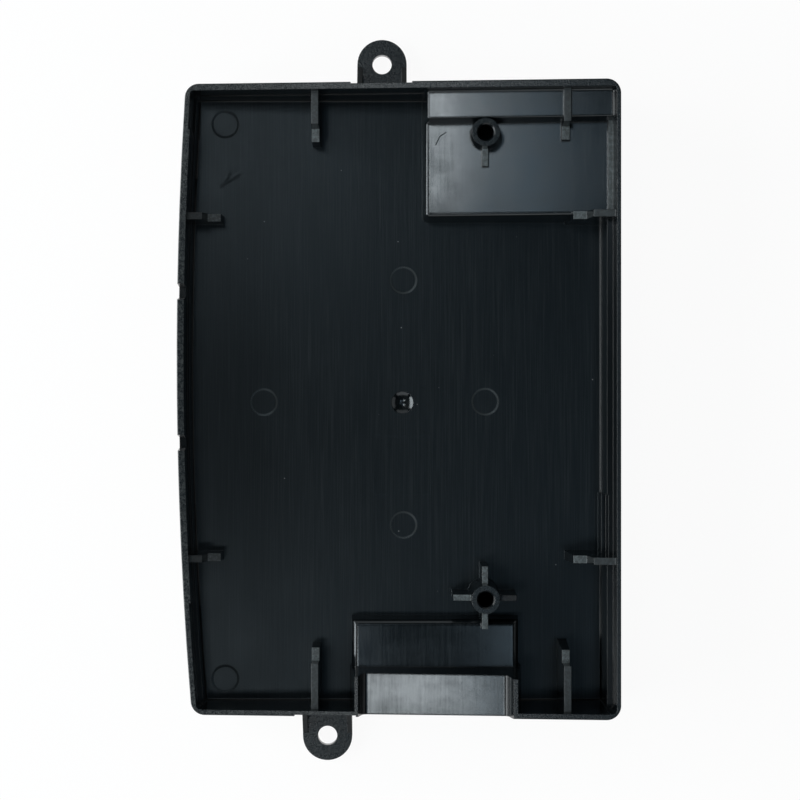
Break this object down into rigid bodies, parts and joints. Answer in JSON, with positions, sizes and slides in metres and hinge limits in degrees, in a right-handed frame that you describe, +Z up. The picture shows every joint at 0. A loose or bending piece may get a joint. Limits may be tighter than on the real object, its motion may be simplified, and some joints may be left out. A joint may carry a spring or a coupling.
{
  "type": "electronics enclosure half shell",
  "caption": "Lower half of a moulded plastic electronics housing: sloped open tray with board-seat ribs, screw bosses, a cable cut-out and fixing ears.",
  "frame": {"origin": "middle of the outer face of the floor, midway between the two fixing ears", "axes": "+Z up out of the open side, +Y along the length towards the ear on the wall with the corner pad, -X towards the bowed wall"},
  "size_m": [0.0999, 0.168, 0.0273],
  "materials": {
    "black_abs": "black moulded plastic: satin inner floor, fine-textured rims and rib tops, polished pad and sill"
  },
  "bodies": {
    "root": {"housing": "black_abs"}
  },
  "joints": []
}
